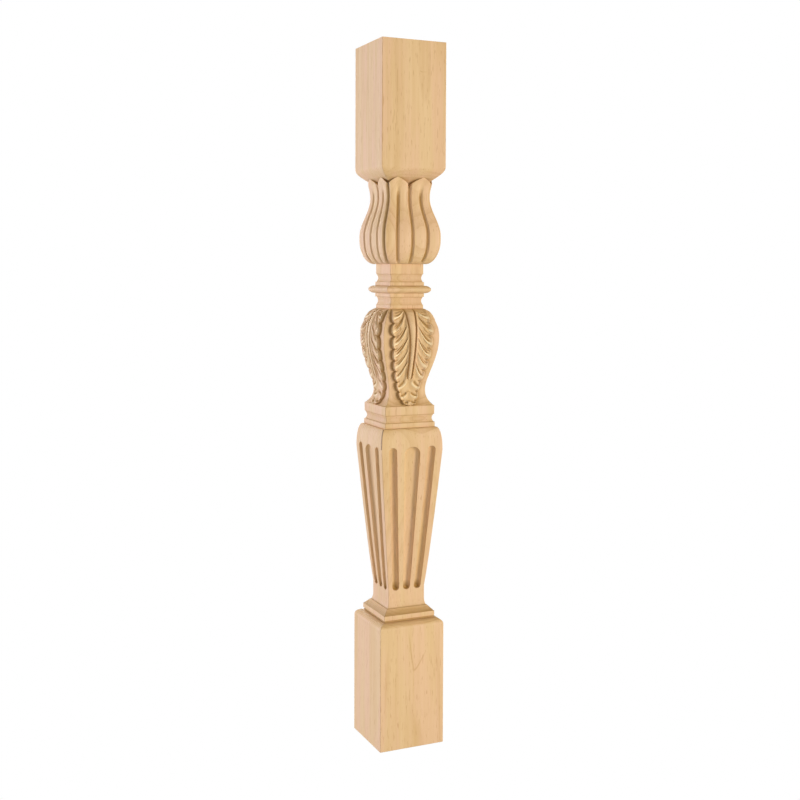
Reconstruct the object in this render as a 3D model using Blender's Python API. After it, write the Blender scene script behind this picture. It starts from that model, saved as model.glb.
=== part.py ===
# Fluted post, carved from one square length of maple.
#
# From the floor up: a plain block, a moulded foot, a tapered shaft with three stopped flutes
# on each side, a bead and a hollow, a vase with an acanthus leaf on each side, a necked disc,
# a cup of pointed petals, a throat and a plain block.
#
# The section is square all the way up and the four sides are alike, so the solid is stacked
# from rows. A row runs across one side, from corner to corner, and is turned to the other three.
# Its points are (across, out, height): across the side, out from the post's axis, and up.
# Units are metres. The post stands on Z = 0 with its axis on the Z axis.

import math

import bmesh
import bpy

# Square stock and the two plain blocks
STOCK_WIDTH = 0.0889
BASE_BLOCK_HEIGHT = 0.1553
HEAD_BLOCK_HEIGHT = 0.1577

# Foot: rounded shoulder of the base block, quirk, plate, slope and hollow under the shaft
BASE_SHOULDER_HEIGHT = 0.0075
QUIRK_HEIGHT = 0.0025
QUIRK_DEPTH = 0.0012
PLATE_WIDTH = 0.0710
PLATE_HEIGHT = 0.0060
PLATE_SLOPE_HEIGHT = 0.0067
PLATE_SLOPE_INSET = 0.0072
FOOT_HOLLOW_HEIGHT = 0.0090

# Shaft: upright at its foot, then widening to a rounded shoulder
SHAFT_FOOT_WIDTH = 0.0508
SHAFT_FOOT_HEIGHT = 0.0170
SHAFT_HEAD_WIDTH = 0.0855
SHAFT_TAPER_HEIGHT = 0.1780
SHAFT_TAPER_POWER = 0.88
SHAFT_SHOULDER_HEIGHT = 0.0292
SHAFT_SHOULDER_INSET = 0.0063
SHAFT_SHOULDER_POWER = 2.4

# Flutes, three to a side, with equal flats between them
FLUTE_DEPTH = 0.0050
FLUTE_FOOT_WIDTH = 0.0094
SIDE_FLUTE_HEAD_WIDTH = 0.0112
MIDDLE_FLUTE_HEAD_WIDTH = 0.0230
FLUTE_FOOT_GAP = 0.0135
FLUTE_HEAD_GAP = 0.0232
FLUTE_WALL_RADIUS = 0.0056
FLUTE_COLUMNS = 6
FLUTE_END_TURNS = (0.0, 0.4, 0.7, 1.0)
SHOULDER_STEPS = 7

# Bead, hollow and plinth under the vase
BEAD_WIDTH = 0.0702
BEAD_HEIGHT = 0.0066
HOLLOW_HEIGHT = 0.0099
HOLLOW_WIDTH = 0.0642
PLINTH_WIDTH = 0.0692
PLINTH_HEIGHT = 0.0116
EDGE_ROUND = 0.0008

# Vase: flared foot, waist, belly and shoulder
VASE_HEIGHT = 0.1242
VASE_FOOT_WIDTH = 0.0670
VASE_WAIST_WIDTH = 0.0510
VASE_WAIST_RISE = 0.0207
VASE_BELLY_WIDTH = 0.0780
VASE_BELLY_DROP = 0.0355
VASE_HEAD_WIDTH = 0.0486
FLARE_POWER = 2.6
RISE_POWER = 0.80
SHOULDER_POWER = 1.7

# Acanthus leaf on each side of the vase
LEAF_RELIEF = 0.0046
LEAF_EDGE_RELIEF = 0.0036
LEAF_TOP_FADE = 0.0055
LEAF_TOP_WIDTH = 0.0490
LEAF_WIDTH = 0.0590
LEAF_WIDEST_DROP = 0.0280
LEAF_TIP_WIDTH = 0.0210
LEAF_TIP_ROUND = 0.0080
LEAF_MARGIN = 0.0007
LEAF_EDGE_STEP = 0.0008
LEAF_GROUND_MIN = 0.0025
FIRST_LOBE_HEIGHT = 0.0175
LOBE_SHRINK = 0.0008
LOBE_COUNT = 8
LOBE_SWEEP = 0.0270
SWEEP_POWER = 2.0
TOP_SWEEP_SHARE = 0.85
TIP_SWEEP_SHARE = 0.75
LOBE_NOTCH = 0.0036
NOTCH_POINT = 0.6
NOTCH_FULL_WIDTH = 0.40
LOBE_FALL = 0.0012
VEIN_DEPTH = 0.0024
VEIN_SHARE = 0.18
VEIN_FADE = 0.25
RIB_RELIEF = 0.0052
RIB_TOP_WIDTH = 0.0120
RIB_WIDTH = 0.0050
RIB_END_RISE = 0.0330
RIB_GROOVE_WIDTH = 0.0014
RIB_GROOVE_RELIEF = 0.0026
RIB_ROUND = 0.0012
RIB_MAX_SHARE = 0.35
RIB_GROOVE_MAX_SHARE = 0.50
RIB_FLARE_POWER = 2.5
TIP_RELIEF_SHARE = 0.40
LEAF_COLUMNS = (0.18, 0.42, 0.70)
LOBE_ROWS = (0.25, 0.50, 0.70)
FIRST_ROW = 0.10
TIP_ROW = 0.45

# Neck: fillet, hollow and fillet, the disc, and the same again above it
NECK_WIDTH = 0.0466
NECK_HEIGHT = 0.0128
NECK_HOLLOW_WIDTH = 0.0427
LOWER_FILLET_HEIGHT = 0.0046
NECK_HOLLOW_HEIGHT = 0.0102
DISC_FILLET_WIDTH = 0.0482
DISC_FILLET_HEIGHT = 0.0047
DISC_WIDTH = 0.0620
DISC_HEIGHT = 0.0098

# Cup of petals, two to a side
CUP_HEIGHT = 0.0960
CUP_FOOT_WIDTH = 0.0520
CUP_BELLY_WIDTH = 0.0818
CUP_BELLY_RISE = 0.0315
CUP_BELLY_HEIGHT = 0.0040
CUP_WAIST_WIDTH = 0.0601
CUP_WAIST_RISE = 0.0855
PETAL_FLARE = 0.0052
PETAL_POINT_RISE = 0.0135
PETAL_LIP = 0.0003
PETAL_CROWN = 0.0004
PETAL_GROOVE_WIDTH = 0.0052
PETAL_GROOVE_DEPTH = 0.0022
PETAL_GROOVE_SHARE = 0.52
PETAL_GROOVE_DROP = 0.0055
CORNER_GROOVE_WIDTH = 0.0033
CORNER_GROOVE_DEPTH = 0.0024
GROOVE_FOOT_SHARE = 0.20
CREASE_END_ROW = 0.40
CREASE_END_SHARE = 0.30
CUP_FOOT_TURNS = (0.22, 0.45, 0.70)

# Throat between the petals and the head block
THROAT_WIDTH = 0.0510
THROAT_HEIGHT = 0.0243
THROAT_POWER = 0.85
THROAT_RISE = 0.1235

MAPLE = (0.72, 0.49, 0.27, 1.0)


def stage_heights():
    """Height of the top of each stage, added up from the floor."""
    stages = [
        ("base_block", BASE_BLOCK_HEIGHT),
        ("base_shoulder", BASE_SHOULDER_HEIGHT),
        ("quirk", QUIRK_HEIGHT),
        ("plate", PLATE_HEIGHT),
        ("plate_slope", PLATE_SLOPE_HEIGHT),
        ("foot_hollow", FOOT_HOLLOW_HEIGHT),
        ("shaft_foot", SHAFT_FOOT_HEIGHT),
        ("shaft_taper", SHAFT_TAPER_HEIGHT),
        ("shaft_shoulder", SHAFT_SHOULDER_HEIGHT),
        ("bead", BEAD_HEIGHT),
        ("hollow", HOLLOW_HEIGHT),
        ("plinth", PLINTH_HEIGHT),
        ("vase", VASE_HEIGHT),
        ("lower_fillet", LOWER_FILLET_HEIGHT),
        ("lower_hollow", NECK_HOLLOW_HEIGHT),
        ("lower_disc_fillet", DISC_FILLET_HEIGHT),
        ("disc", DISC_HEIGHT),
        ("upper_disc_fillet", DISC_FILLET_HEIGHT),
        ("upper_hollow", NECK_HOLLOW_HEIGHT),
        ("neck", NECK_HEIGHT),
        ("throat", THROAT_RISE),
        ("head_block", HEAD_BLOCK_HEIGHT),
    ]
    tops = {"floor": 0.0}
    height = 0.0
    for name, rise in stages:
        height += rise
        tops[name] = height
    return tops


TOP = stage_heights()


# Profiles


def steps(count):
    """Fractions from just above 0 up to 1."""
    return [(i + 1) / count for i in range(count)]


def plain(height, half):
    """A row with nothing carved on it: the two corners of the side."""
    return [(-half, half, height), (half, half, height)]


def mirrored(half_row):
    """The whole row, from its half that runs from the middle to the right corner."""
    left = [(-across, out, height) for across, out, height in reversed(half_row) if across > 0]
    return left + half_row


def quarter_in(low, high, half_low, half_high, count):
    """Convex quarter oval: upright at the bottom, turning in to level at the top."""
    inset = half_low - half_high
    turns = [0.5 * math.pi * t for t in steps(count)]
    return [plain(low + (high - low) * math.sin(a), half_high + inset * math.cos(a)) for a in turns]


def hollow(low, high, half_edge, half_middle, count):
    """Concave moulding between two equal edges."""
    depth = half_edge - half_middle
    rise = high - low
    return [plain(low + rise * t, half_edge - depth * math.sin(math.pi * t)) for t in steps(count)]


def rounded_band(low, high, half, ease):
    """Upright band whose two edges are eased."""
    return [
        plain(low, half - ease),
        plain(low + ease, half),
        plain(high - ease, half),
        plain(high, half - ease),
    ]


def nosing(low, high, half_edge, half, count):
    """Half an oval that stands out between two equal edges; the rows at the edges are left out."""
    radius = 0.5 * (high - low)
    out = half - half_edge
    turns = [math.pi * t for t in steps(count)[:-1]]
    return [plain(low + radius * (1 - math.cos(a)), half_edge + out * math.sin(a)) for a in turns]


def shaft_half(height):
    """Half width of the shaft: upright, then a slightly full taper, then the rounded shoulder."""
    foot, head = 0.5 * SHAFT_FOOT_WIDTH, 0.5 * SHAFT_HEAD_WIDTH
    if height <= TOP["shaft_taper"]:
        t = max(0.0, (height - TOP["shaft_foot"]) / SHAFT_TAPER_HEIGHT)
        return foot + (head - foot) * t ** SHAFT_TAPER_POWER
    t = min(1.0, (height - TOP["shaft_taper"]) / SHAFT_SHOULDER_HEIGHT)
    return head - SHAFT_SHOULDER_INSET * (1 - math.sqrt(1 - t ** SHAFT_SHOULDER_POWER))


def vase_half(height):
    """Half width of the vase: flared foot, rise from waist to belly, shoulder."""
    waist_at = TOP["plinth"] + VASE_WAIST_RISE
    belly_at = TOP["vase"] - VASE_BELLY_DROP
    foot, waist = 0.5 * VASE_FOOT_WIDTH, 0.5 * VASE_WAIST_WIDTH
    belly, head = 0.5 * VASE_BELLY_WIDTH, 0.5 * VASE_HEAD_WIDTH
    if height < waist_at:
        t = (waist_at - height) / VASE_WAIST_RISE
        return waist + (foot - waist) * t ** FLARE_POWER
    if height < belly_at:
        t = ((height - waist_at) / (belly_at - waist_at)) ** RISE_POWER
        return waist + (belly - waist) * 0.5 * (1 - math.cos(math.pi * t))
    t = min(1.0, (height - belly_at) / VASE_BELLY_DROP)
    return head + (belly - head) * (1 - t * t) ** (0.5 * SHOULDER_POWER)


def cup_half(height):
    """Half width of the cup: round foot, upright belly, waist, and the flare to the points."""
    rise = height - TOP["neck"]
    foot, belly, waist = 0.5 * CUP_FOOT_WIDTH, 0.5 * CUP_BELLY_WIDTH, 0.5 * CUP_WAIST_WIDTH
    belly_top = CUP_BELLY_RISE + CUP_BELLY_HEIGHT
    if rise < CUP_BELLY_RISE:
        t = (CUP_BELLY_RISE - rise) / CUP_BELLY_RISE
        return foot + (belly - foot) * math.sqrt(max(0.0, 1 - t * t))
    if rise < belly_top:
        return belly
    if rise < CUP_WAIST_RISE:
        t = (rise - belly_top) / (CUP_WAIST_RISE - belly_top)
        return belly + (waist - belly) * 0.5 * (1 - math.cos(math.pi * t))
    t = (rise - CUP_WAIST_RISE) / (CUP_HEIGHT + PETAL_POINT_RISE - CUP_WAIST_RISE)
    return waist + PETAL_FLARE * t * t


def throat_half(height):
    """Half width of the throat, an S that widens to the head block."""
    narrow, wide = 0.5 * THROAT_WIDTH, 0.5 * STOCK_WIDTH
    t = max(0.0, 1 - (TOP["throat"] - height) / THROAT_HEIGHT) ** THROAT_POWER
    return narrow + (wide - narrow) * 0.5 * (1 - math.cos(math.pi * t))


# Foot and shaft


def foot_rows():
    """Base block, its rounded shoulder, quirk, plate, slope and hollow."""
    block, plate, shaft = 0.5 * STOCK_WIDTH, 0.5 * PLATE_WIDTH, 0.5 * SHAFT_FOOT_WIDTH
    quirk, slope_top = plate - QUIRK_DEPTH, plate - PLATE_SLOPE_INSET
    rows = [plain(TOP["floor"], block), plain(TOP["base_block"], block)]
    rows += quarter_in(TOP["base_block"], TOP["base_shoulder"], block, quirk, 5)
    rows.append(plain(TOP["quirk"], quirk))
    rows += rounded_band(TOP["quirk"], TOP["plate"], plate, 0.5 * EDGE_ROUND)
    low, high = TOP["plate_slope"], TOP["foot_hollow"]
    rows += [plain(low, slope_top), plain(low, slope_top - QUIRK_DEPTH)]
    for t in steps(4):
        rise = math.sin(0.5 * math.pi * t)
        inset = (slope_top - QUIRK_DEPTH - shaft) * (1 - rise) ** 2
        rows.append(plain(low + (high - low) * rise, shaft + inset))
    return rows


def flute_at(height, middle):
    """Half width of a flute at a height, and how far its centre lies from the middle."""
    foot_z, head_z = TOP["foot_hollow"] + FLUTE_FOOT_GAP, TOP["shaft_shoulder"] - FLUTE_HEAD_GAP
    t = (height - foot_z) / (head_z - foot_z)
    side_half = 0.5 * (FLUTE_FOOT_WIDTH + (SIDE_FLUTE_HEAD_WIDTH - FLUTE_FOOT_WIDTH) * t)
    middle_half = 0.5 * (FLUTE_FOOT_WIDTH + (MIDDLE_FLUTE_HEAD_WIDTH - FLUTE_FOOT_WIDTH) * t)
    if middle:
        return middle_half, 0.0
    flat = (shaft_half(height) - middle_half - 2 * side_half) / 2
    return side_half, middle_half + flat + side_half


def flute_points(height, middle):
    """Points across one flute, whose ends are rounded to the flute's own half width."""
    half, centre = flute_at(height, middle)
    foot_z, head_z = TOP["foot_hollow"] + FLUTE_FOOT_GAP, TOP["shaft_shoulder"] - FLUTE_HEAD_GAP
    foot_half, head_half = flute_at(foot_z, middle)[0], flute_at(head_z, middle)[0]
    past = max(height - (head_z - head_half), (foot_z + foot_half) - height, 0.0)
    chord = math.sqrt(max(0.0, half * half - past * past)) if past else half
    face = shaft_half(height)
    if chord < 1e-4:
        return [(centre, face, height)]
    wall = min(half, FLUTE_WALL_RADIUS)
    points = []
    for i in range(FLUTE_COLUMNS + 1):
        across = chord * math.sin(math.pi * (i / FLUTE_COLUMNS - 0.5))
        inside = min(wall, max(0.0, half - math.hypot(across, past)))
        depth = FLUTE_DEPTH * math.sqrt(1 - (1 - inside / wall) ** 2)
        points.append((centre + across, face - depth, height))
    return points


def shaft_rows():
    """Shaft from the hollow to the bead, with its three flutes."""
    foot_z, head_z = TOP["foot_hollow"] + FLUTE_FOOT_GAP, TOP["shaft_shoulder"] - FLUTE_HEAD_GAP
    foot_half = flute_at(foot_z, True)[0]
    side_half, middle_half = flute_at(head_z, False)[0], flute_at(head_z, True)[0]
    heights = [foot_z + foot_half * (1 - math.cos(0.5 * math.pi * t)) for t in FLUTE_END_TURNS]
    heights += [head_z - middle_half, head_z - side_half]
    for t in FLUTE_END_TURNS[1:]:
        heights.append(head_z - side_half * (1 - math.sin(0.5 * math.pi * t)))
    rows = []
    for height in heights:
        half = shaft_half(height)
        middle = [point for point in flute_points(height, True) if point[0] > -1e-9]
        rows.append(mirrored(middle + flute_points(height, False) + [(half, half, height)]))
    low, high = heights[-1], TOP["shaft_shoulder"]
    for t in steps(SHOULDER_STEPS):
        height = low + (high - low) * math.sin(0.5 * math.pi * t)
        rows.append(plain(height, shaft_half(height)))
    return rows


# Vase and its leaves


def plinth_rows():
    """Bead, hollow and plinth between the shaft and the vase."""
    rows = rounded_band(TOP["shaft_shoulder"], TOP["bead"], 0.5 * BEAD_WIDTH, EDGE_ROUND)
    rows += hollow(TOP["bead"], TOP["hollow"], 0.5 * PLINTH_WIDTH - EDGE_ROUND, 0.5 * HOLLOW_WIDTH, 6)
    rows += rounded_band(TOP["hollow"], TOP["plinth"], 0.5 * PLINTH_WIDTH, EDGE_ROUND)[1:]
    return rows


def lobe_drop(lobe):
    """How far below the leaf's top a lobe's notch lies; lobe 1 ends at drop FIRST_LOBE_HEIGHT."""
    return FIRST_LOBE_HEIGHT * lobe - LOBE_SHRINK * 0.5 * lobe * (lobe - 1)


def leaf_half(drop, length):
    """Half width of the leaf's envelope at a drop below its top."""
    widest, tip = 0.5 * LEAF_WIDTH, 0.5 * LEAF_TIP_WIDTH
    if drop < LEAF_WIDEST_DROP:
        top = 0.5 * LEAF_TOP_WIDTH
        return top + (widest - top) * math.sin(0.5 * math.pi * drop / LEAF_WIDEST_DROP)
    t = min(1.0, (drop - LEAF_WIDEST_DROP) / (length - LEAF_TIP_ROUND - LEAF_WIDEST_DROP))
    half = tip + (widest - tip) * math.cos(0.5 * math.pi * t)
    rounding = max(0.0, (drop - length + LEAF_TIP_ROUND) / LEAF_TIP_ROUND)
    return half * math.sqrt(max(0.0, 1 - rounding * rounding))


def rib_half(height):
    """Half width of the rib, which flares towards the top of the leaf."""
    end = TOP["plinth"] + RIB_END_RISE
    t = max(0.0, (height - end) / (TOP["vase"] - end))
    return 0.5 * (RIB_WIDTH + (RIB_TOP_WIDTH - RIB_WIDTH) * t ** RIB_FLARE_POWER)


def lobe_dip(lobe_part, out_part):
    """How far the leaf dips below its full relief. lobe_part is 0 in the notch above a lobe
    and 0.5 on the lobe's vein; the leaf is high just below a vein and falls to the next.
    out_part is 0 at the rib and 1 at the leaf's edge, and the vein fades before the edge."""
    past_vein = (lobe_part - 0.5) % 1.0
    vein = max(0.0, 1 - min(past_vein, 1 - past_vein) / VEIN_SHARE)
    fall = LOBE_FALL * past_vein * (1 - vein)
    return fall + VEIN_DEPTH * vein * min(1.0, (1 - out_part) / VEIN_FADE)


def leaf_row(drop, lobe_part):
    """One row of the leaf. It leaves the rib high, sweeps down and out to the leaf's edge
    at the given drop below the leaf's top, and runs on level to the corner."""
    leaf_top = TOP["vase"] - LEAF_MARGIN
    length = VASE_HEIGHT - 2 * LEAF_MARGIN
    edge_z = leaf_top - drop
    sweep = min(LOBE_SWEEP, TOP_SWEEP_SHARE * drop, TIP_SWEEP_SHARE * (length - drop))
    rib_z = edge_z + sweep
    half = vase_half(edge_z)
    envelope = leaf_half(drop, length)
    notch = LOBE_NOTCH * min(1.0, envelope / (NOTCH_FULL_WIDTH * LEAF_WIDTH))
    notch *= 1 - math.sin(math.pi * lobe_part) ** NOTCH_POINT
    edge = min(envelope - notch, half - LEAF_GROUND_MIN)
    rib = min(rib_half(rib_z), RIB_MAX_SHARE * edge)
    groove = min(rib + RIB_GROOVE_WIDTH, RIB_GROOVE_MAX_SHARE * edge)
    ribbed = min(1.0, max(0.0, (rib_z - TOP["plinth"] - RIB_END_RISE) / RIB_WIDTH))
    spine = LEAF_RELIEF + (RIB_RELIEF - LEAF_RELIEF) * ribbed
    valley = LEAF_RELIEF + (RIB_GROOVE_RELIEF - LEAF_RELIEF) * ribbed
    shapes = [(0.0, 0.0, spine), (rib, 0.0, spine - RIB_ROUND * ribbed), (groove, 0.0, valley)]
    for out_part in LEAF_COLUMNS:
        across = groove + out_part * (edge - groove)
        shapes.append((across, out_part, LEAF_RELIEF - lobe_dip(lobe_part, out_part)))
    shapes += [(edge, 1.0, LEAF_EDGE_RELIEF), (edge + LEAF_EDGE_STEP, 1.0, 0.0)]
    row = []
    for across, out_part, relief in shapes:
        height = edge_z + sweep * (1 - out_part) ** SWEEP_POWER
        top_fade = (leaf_top - height) / LEAF_TOP_FADE
        tip_fade = TIP_RELIEF_SHARE + (height - leaf_top + length) / LEAF_RELIEF
        fade = max(0.0, min(1.0, top_fade, tip_fade))
        row.append((across, vase_half(height) + relief * fade, height))
    row.append((half, half, edge_z))
    return mirrored(row)


def vase_rows():
    """Vase with its leaf, from the plinth up to the neck."""
    length = VASE_HEIGHT - 2 * LEAF_MARGIN
    places = [(0.0, 0.0), (FIRST_ROW * FIRST_LOBE_HEIGHT, FIRST_ROW)]
    for lobe in range(LOBE_COUNT):
        low, high = lobe_drop(lobe), lobe_drop(lobe + 1)
        places += [(low + (high - low) * part, part) for part in LOBE_ROWS] + [(high, 0.0)]
    last = lobe_drop(LOBE_COUNT)
    places += [(last + TIP_ROW * (length - last), 0.5), (length - FIRST_ROW * LEAF_TIP_ROUND, 0.5)]
    rows = [leaf_row(drop, part) for drop, part in reversed(places)]
    foot = [plain(TOP["plinth"], 0.5 * VASE_FOOT_WIDTH)]
    return foot + rows + [plain(TOP["vase"], 0.5 * VASE_HEAD_WIDTH)]


# Neck and cup


def neck_rows():
    """Fillets, hollows and disc between the vase and the cup."""
    neck, hollowed = 0.5 * NECK_WIDTH, 0.5 * NECK_HOLLOW_WIDTH
    fillet = 0.5 * DISC_FILLET_WIDTH
    rows = rounded_band(TOP["vase"], TOP["lower_fillet"], neck, 0.5 * EDGE_ROUND)
    rows += hollow(TOP["lower_fillet"], TOP["lower_hollow"], neck - 0.5 * EDGE_ROUND, hollowed, 6)
    rows += [plain(TOP["lower_hollow"], fillet), plain(TOP["lower_disc_fillet"], fillet)]
    rows += nosing(TOP["lower_disc_fillet"], TOP["disc"], fillet, 0.5 * DISC_WIDTH, 10)
    rows += [plain(TOP["disc"], fillet), plain(TOP["upper_disc_fillet"], fillet)]
    rows += [plain(TOP["upper_disc_fillet"], neck - 0.5 * EDGE_ROUND)]
    rows += hollow(TOP["upper_disc_fillet"], TOP["upper_hollow"], neck - 0.5 * EDGE_ROUND, hollowed, 6)
    rows += [plain(TOP["upper_hollow"] + 0.5 * EDGE_ROUND, neck), plain(TOP["neck"], neck)]
    return rows


def petal_columns(half, groove_depth, crease_depth):
    """Half a row of two petals: (across, how far in from the face). A groove parts the petals
    at the middle of the side and at the corner, and a crease runs down each petal."""
    crease = PETAL_GROOVE_SHARE * half
    side = 0.5 * PETAL_GROOVE_WIDTH
    corner = CORNER_GROOVE_WIDTH
    return [
        (0.0, groove_depth),
        (side, 0.0),
        (0.5 * crease, -PETAL_CROWN),
        (crease - side, 0.0),
        (crease, crease_depth),
        (crease + side, 0.0),
        (0.5 * (crease + side + half - corner), -PETAL_CROWN),
        (half - corner, 0.0),
    ]


def cup_row(height, groove_depth, crease_depth):
    """Level row round the cup."""
    half = cup_half(height)
    corner = half - CORNER_GROOVE_DEPTH * groove_depth / PETAL_GROOVE_DEPTH
    columns = petal_columns(half, groove_depth, crease_depth)
    row = [(across, half - inset, height) for across, inset in columns]
    return mirrored(row + [(corner, corner, height)])


def point_height(share):
    """Height of the petals' edge, whose share across the side is 0 at the middle and 1 at
    the corner: a pointed arch over each petal."""
    crease = PETAL_GROOVE_SHARE
    away = (crease - share) / crease if share < crease else (share - crease) / (1 - crease)
    return TOP["neck"] + CUP_HEIGHT + PETAL_POINT_RISE * math.sqrt(max(0.0, 1 - away))


def arched_row(low, part, crease_depth):
    """Row that rises part of the way from a level height to the petals' edge."""
    level_half = cup_half(TOP["neck"] + CUP_HEIGHT)
    row = []
    for across, inset in petal_columns(level_half, PETAL_GROOVE_DEPTH, crease_depth):
        share = across / level_half
        height = low + (point_height(share) - low) * part
        half = cup_half(height)
        row.append((share * half, half - inset, height))
    height = low + (point_height(1.0) - low) * part
    corner = cup_half(height) - CORNER_GROOVE_DEPTH
    return mirrored(row + [(corner, corner, height)])


def recess_row(high, part):
    """Row of the throat, from just behind the petals' edge to level at the given height."""
    level_half = cup_half(TOP["neck"] + CUP_HEIGHT)
    row = []
    shares = [across / level_half for across, _ in petal_columns(level_half, 0.0, 0.0)] + [1.0]
    for share in shares:
        low = point_height(share) + PETAL_LIP
        height = low + (high - low) * part
        half = throat_half(height)
        row.append((share * half, half, height))
    return mirrored(row)


def cup_rows():
    """Cup of petals and the throat above it, up to the head block."""
    foot = TOP["neck"]
    deep = PETAL_GROOVE_DEPTH
    shallow = GROOVE_FOOT_SHARE * deep
    rows = [cup_row(foot, shallow, shallow)]
    for turn in CUP_FOOT_TURNS:
        rows.append(cup_row(foot + CUP_BELLY_RISE * (1 - math.cos(0.5 * math.pi * turn)), deep, deep))
    belly_top = CUP_BELLY_RISE + CUP_BELLY_HEIGHT
    rows += [cup_row(foot + CUP_BELLY_RISE, deep, deep), cup_row(foot + belly_top, deep, deep)]
    for t in steps(5):
        rows.append(cup_row(foot + belly_top + (CUP_WAIST_RISE - belly_top) * t, deep, deep))
    level = foot + CUP_HEIGHT - PETAL_GROOVE_DROP
    rows += [cup_row(level, deep, deep), arched_row(level, CREASE_END_ROW, CREASE_END_SHARE * deep)]
    rows.append(arched_row(level, 1.0, 0.0))
    high = foot + CUP_HEIGHT + PETAL_POINT_RISE + 2 * PETAL_LIP
    rows += [recess_row(high, 0.0), recess_row(high, 0.5), recess_row(high, 1.0)]
    for t in steps(5):
        height = high + (TOP["throat"] - high) * t
        rows.append(plain(height, throat_half(height)))
    return rows


# Solid


def ring_of(bm, row):
    """Vertices of a row on the four sides; a corner is shared by its two sides."""
    sides = []
    for quarter in range(4):
        c, s = round(math.cos(0.5 * math.pi * quarter)), round(math.sin(0.5 * math.pi * quarter))
        points = [(across * c + out * s, across * s - out * c, height) for across, out, height in row[:-1]]
        sides.append([bm.verts.new(point) for point in points])
    return [sides[i] + [sides[(i + 1) % 4][0]] for i in range(4)]


def stitch(bm, low, high):
    """Triangles between two rows of one side, along the shorter diagonal each time."""
    i = j = 0
    paired = len(low) == len(high)
    while i < len(low) - 1 or j < len(high) - 1:
        along_low = (low[i + 1].co - high[j].co).length if i < len(low) - 1 else math.inf
        along_high = (low[i].co - high[j + 1].co).length if j < len(high) - 1 else math.inf
        step_low = along_low <= along_high
        if paired and i != j:
            step_low = i < j
        if step_low:
            bm.faces.new((low[i], low[i + 1], high[j]))
            i += 1
        else:
            bm.faces.new((low[i], high[j + 1], high[j]))
            j += 1


def build_post():
    """One closed solid, stitched from all the rows and capped at both ends."""
    rows = foot_rows() + shaft_rows() + plinth_rows() + vase_rows()
    rows += neck_rows() + cup_rows() + [plain(TOP["head_block"], 0.5 * STOCK_WIDTH)]
    bm = bmesh.new()
    rings = [ring_of(bm, row) for row in rows]
    for low, high in zip(rings, rings[1:]):
        for side in range(4):
            stitch(bm, low[side], high[side])
    bm.faces.new([side[0] for side in reversed(rings[0])])
    bm.faces.new([side[0] for side in rings[-1]])
    mesh = bpy.data.meshes.new("post")
    bm.to_mesh(mesh)
    bm.free()
    post = bpy.data.objects.new("post", mesh)
    bpy.context.scene.collection.objects.link(post)
    return post


def maple():
    """Pale raw maple, sanded and unfinished."""
    material = bpy.data.materials.new("raw_maple")
    material.use_nodes = True
    shader = material.node_tree.nodes["Principled BSDF"]
    shader.inputs["Base Color"].default_value = MAPLE
    shader.inputs["Roughness"].default_value = 0.62
    shader.inputs["Metallic"].default_value = 0.0
    return material


def main():
    for old in list(bpy.data.objects):
        bpy.data.objects.remove(old, do_unlink=True)
    post = build_post()
    post.data.materials.append(maple())
    post.data.set_sharp_from_angle(angle=math.radians(35))


main()
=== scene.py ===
import math

import bpy
import numpy as np
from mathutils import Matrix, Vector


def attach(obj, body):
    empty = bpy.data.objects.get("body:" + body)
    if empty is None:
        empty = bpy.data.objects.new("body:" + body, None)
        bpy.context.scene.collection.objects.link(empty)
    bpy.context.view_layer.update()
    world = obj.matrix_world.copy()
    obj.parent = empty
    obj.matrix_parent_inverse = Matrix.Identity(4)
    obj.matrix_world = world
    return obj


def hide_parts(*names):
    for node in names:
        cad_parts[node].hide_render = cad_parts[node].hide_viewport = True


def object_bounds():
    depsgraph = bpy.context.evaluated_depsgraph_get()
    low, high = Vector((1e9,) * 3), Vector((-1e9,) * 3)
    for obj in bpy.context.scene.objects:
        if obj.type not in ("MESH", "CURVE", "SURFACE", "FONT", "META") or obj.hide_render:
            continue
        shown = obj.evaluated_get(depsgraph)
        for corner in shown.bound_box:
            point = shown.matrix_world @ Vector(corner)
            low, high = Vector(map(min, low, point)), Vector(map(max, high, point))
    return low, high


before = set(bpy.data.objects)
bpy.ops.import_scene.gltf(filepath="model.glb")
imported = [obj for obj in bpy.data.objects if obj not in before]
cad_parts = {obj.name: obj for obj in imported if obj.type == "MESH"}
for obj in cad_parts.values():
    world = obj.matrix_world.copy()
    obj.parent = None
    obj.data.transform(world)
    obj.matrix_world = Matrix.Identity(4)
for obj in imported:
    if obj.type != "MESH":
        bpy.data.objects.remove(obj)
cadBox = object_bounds()

# half the stock's width and the whole height, from the solid
stockHalf, postHeight = (round(1000 * float(cadBox[1][axis]), 3) for axis in (0, 2))

# Height of each stage, from the floor up; the head block has the rest
stages = {
    "block": 155.3, "blockShoulder": 7.5, "quirk": 2.5, "plate": 6.0, "plateSlope": 6.7,
    "footHollow": 9.0, "shaftFoot": 17.0, "shaftTaper": 178.0, "shaftShoulder": 29.2,
    "bead": 6.6, "hollow": 9.9, "plinth": 11.6, "vase": 124.2, "fillet": 4.6, "lowHollow": 10.2,
    "discFillet": 4.7, "disc": 9.8, "highFillet": 4.7, "highHollow": 10.2, "neck": 12.8,
    "throat": 123.5,
}
topOf = dict(zip(stages, np.cumsum(list(stages.values()))), head=postHeight)

moulding = {
    "plateHalf": 35.5, "quirkDepth": 1.2, "slopeInset": 7.2, "slopeStep": 1.0,
    "beadHalf": 35.1, "hollowHalf": 32.1, "plinthHalf": 34.6,
    "neckHalf": 23.3, "neckHollowHalf": 21.35, "filletHalf": 24.1, "discHalf": 31.0,
    # how much each kind of edge is rounded off
    "arrisEase": 0.8, "endEase": 0.6, "edgeEase": 0.7, "plateEase": 0.5,
    "neckEase": 0.4, "neckArrisEase": 0.6,
    "endRow": 1.2, "blockRows": (40.0, 80.0, 120.0),  # rows up the plain blocks
    # the corner value below is painted shade in a sharp inner corner, where shade falls
    "cornerShade": 0.8,  # how dark a sharp inner corner is
}

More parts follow.
